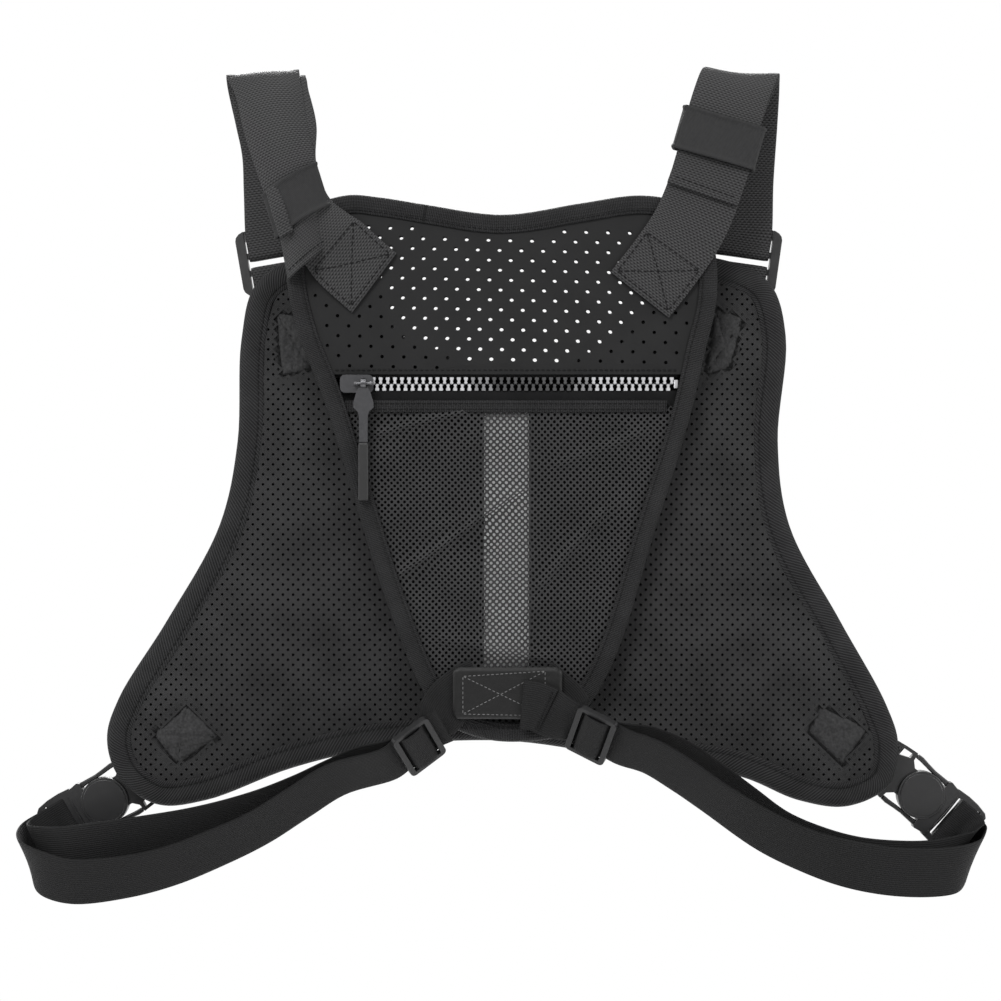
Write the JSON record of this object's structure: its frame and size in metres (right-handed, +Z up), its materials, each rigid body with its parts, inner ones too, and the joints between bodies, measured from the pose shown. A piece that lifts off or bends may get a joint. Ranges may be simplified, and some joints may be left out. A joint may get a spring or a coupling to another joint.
{
  "type": "safety harness vest",
  "caption": "Padded chest-and-back harness vest with zipped pockets, adjustable shoulder webbing, doubled elastic waist straps, tri-glides and side-release buckles.",
  "frame": {"origin": "where a rail carries both shoulder straps, midway between them, under the top of their loops", "axes": "+X to the right as seen from behind the wearer, along the rail; +Y towards the outer side of the chest panel, with the back panel on the -Y side; +Z up"},
  "size_m": [0.5117, 0.0656, 0.4319],
  "materials": {
    "lining": "matt spacer mesh",
    "foam": "open foam",
    "shell": "matt woven cloth",
    "binding": "matt ribbed tape",
    "neoprene": "smooth perforated skin",
    "netting": "open netting",
    "reflective": "silver-grey retroreflective",
    "webbing": "flat woven webbing",
    "elastic": "ribbed woven elastic",
    "patch": "smooth synthetic",
    "plastic": "satin moulded",
    "zip_metal": "bright and smoked",
    "grip": "satin rubber"
  },
  "bodies": {
    "vest": {"chest_mesh_lining": "lining", "chest_foam_pad": "foam", "chest_outer_shell": "shell", "chest_binding": "binding", "chest_pocket": "shell", "chest_pocket_band": "shell", "chest_zip_tape_upper": "binding", "chest_zip_tape_lower": "binding", "chest_zip_teeth_upper": "zip_metal", "chest_zip_teeth_lower": "zip_metal", "chest_zip_end_stop": "zip_metal", "back_yoke": "neoprene", "back_base_panel": "shell", "mesh_pocket": "netting", "back_binding": "binding", "reflective_strip": "reflective", "pocket_hem": "binding", "back_zip_tape_upper": "binding", "back_zip_tape_lower": "binding", "back_zip_teeth_upper": "zip_metal", "back_zip_teeth_lower": "zip_metal", "back_zip_end_stop": "zip_metal", "waist_patch": "patch", "waist_elastic_right": "elastic", "waist_elastic_left": "elastic", "buckle_socket_right": "plastic", "buckle_socket_left": "plastic", "hip_tab_right": "webbing", "hip_tab_left": "webbing", "shoulder_tab_right": "webbing", "shoulder_tab_left": "webbing", "shoulder_strap_right": "webbing", "shoulder_strap_left": "webbing"},
    "back_zip_slider": {"back_zip_slider": "zip_metal"},
    "back_zip_pull": {"back_zip_pull": "zip_metal", "back_zip_pull_grip": "grip"},
    "chest_zip_slider": {"chest_zip_slider": "zip_metal"},
    "chest_zip_pull": {"chest_zip_pull": "zip_metal"},
    "buckle_plug_right": {"buckle_plug_right": "plastic"},
    "latch_arm_upper_right": {"latch_arm_upper_right": "plastic"},
    "latch_arm_lower_right": {"latch_arm_lower_right": "plastic"},
    "buckle_plug_left": {"buckle_plug_left": "plastic"},
    "latch_arm_upper_left": {"latch_arm_upper_left": "plastic"},
    "latch_arm_lower_left": {"latch_arm_lower_left": "plastic"},
    "triglide_right": {"triglide_right": "plastic"},
    "triglide_left": {"triglide_left": "plastic"},
    "shoulder_adjuster_right": {"shoulder_adjuster_right": "plastic"},
    "shoulder_adjuster_left": {"shoulder_adjuster_left": "plastic"},
    "strap_keeper_right": {"strap_keeper_right": "elastic"},
    "strap_keeper_left": {"strap_keeper_left": "elastic"}
  },
  "joints": [
    {"name": "back_zip_slide", "type": "slide", "parent": "vest", "child": "back_zip_slider", "axis": [1, 0, 0], "range_m": [0, 0.15], "deforming": ["back_zip_teeth_upper", "back_zip_teeth_lower"]},
    {"name": "back_zip_pull_swing", "type": "hinge", "parent": "back_zip_slider", "child": "back_zip_pull", "pos_m": [-0.0709, -0.0214, -0.1585], "axis": [-1, 0, 0], "range_deg": [0, 150]},
    {"name": "chest_zip_slide", "type": "slide", "parent": "vest", "child": "chest_zip_slider", "axis": [-1, 0, 0], "range_m": [0, 0.142], "deforming": ["chest_zip_teeth_upper", "chest_zip_teeth_lower"]},
    {"name": "chest_zip_pull_swing", "type": "hinge", "parent": "chest_zip_slider", "child": "chest_zip_pull", "pos_m": [0.0689, 0.019, -0.2], "axis": [1, 0, 0], "range_deg": [0, 150]},
    {"name": "buckle_release_right", "type": "slide", "parent": "vest", "child": "buckle_plug_right", "axis": [0.7549, 0, -0.6559], "range_m": [0, 0.03], "deforming": ["waist_elastic_right"]},
    {"name": "latch_flex_upper_right", "type": "hinge", "parent": "buckle_plug_right", "child": "latch_arm_upper_right", "pos_m": [0.23697, 0.014, -0.37352], "axis": [0, -1, 0], "range_deg": [0, 12.5]},
    {"name": "latch_flex_lower_right", "type": "hinge", "parent": "buckle_plug_right", "child": "latch_arm_lower_right", "pos_m": [0.22306, 0.014, -0.38953], "axis": [0, 1, 0], "range_deg": [0, 12.5]},
    {"name": "buckle_release_left", "type": "slide", "parent": "vest", "child": "buckle_plug_left", "axis": [-0.8571, 0, -0.5151], "range_m": [0, 0.03], "deforming": ["waist_elastic_left"]},
    {"name": "latch_flex_upper_left", "type": "hinge", "parent": "buckle_plug_left", "child": "latch_arm_upper_left", "pos_m": [-0.2252, 0.014, -0.37381], "axis": [0, 1, 0], "range_deg": [0, 12.5]},
    {"name": "latch_flex_lower_left", "type": "hinge", "parent": "buckle_plug_left", "child": "latch_arm_lower_left", "pos_m": [-0.21428, 0.014, -0.39198], "axis": [0, -1, 0], "range_deg": [0, 12.5]},
    {"name": "triglide_slide_right", "type": "slide", "parent": "vest", "child": "triglide_right", "axis": [0.8803, -0.2001, -0.4302], "range_m": [-0.003, 0.02], "deforming": ["waist_elastic_right"]},
    {"name": "triglide_slide_left", "type": "slide", "parent": "vest", "child": "triglide_left", "axis": [-0.7928, -0.1806, -0.5821], "range_m": [-0.003, 0.02], "deforming": ["waist_elastic_left"]},
    {"name": "shoulder_adjuster_tilt_left", "type": "hinge", "parent": "vest", "child": "shoulder_adjuster_left", "pos_m": [-0.11265, 0.0127, -0.09593], "axis": [0.9854, 0, 0.1701], "range_deg": [0, 12], "deforming": ["shoulder_strap_left", "shoulder_tab_left"]},
    {"name": "shoulder_adjuster_tilt_right", "type": "hinge", "parent": "vest", "child": "shoulder_adjuster_right", "pos_m": [0.1201, 0.0127, -0.09595], "axis": [0.9902, 0, -0.14], "range_deg": [0, 12], "deforming": ["shoulder_strap_right", "shoulder_tab_right"]},
    {"name": "strap_keeper_slide_left", "type": "slide", "parent": "vest", "child": "strap_keeper_left", "axis": [-0.2799, 0.02, 0.9598], "range_m": [0, 0.012]},
    {"name": "strap_keeper_slide_right", "type": "slide", "parent": "vest", "child": "strap_keeper_right", "axis": [0.2799, 0.1, 0.9548], "range_m": [-0.01, 0.01]}
  ],
  "couplings": [
    {"joint": "latch_flex_upper_right", "follows": "buckle_release_right", "rad_per_m": 7.16},
    {"joint": "latch_flex_lower_right", "follows": "buckle_release_right", "rad_per_m": 7.16},
    {"joint": "latch_flex_upper_left", "follows": "buckle_release_left", "rad_per_m": 7.16},
    {"joint": "latch_flex_lower_left", "follows": "buckle_release_left", "rad_per_m": 7.16}
  ]
}
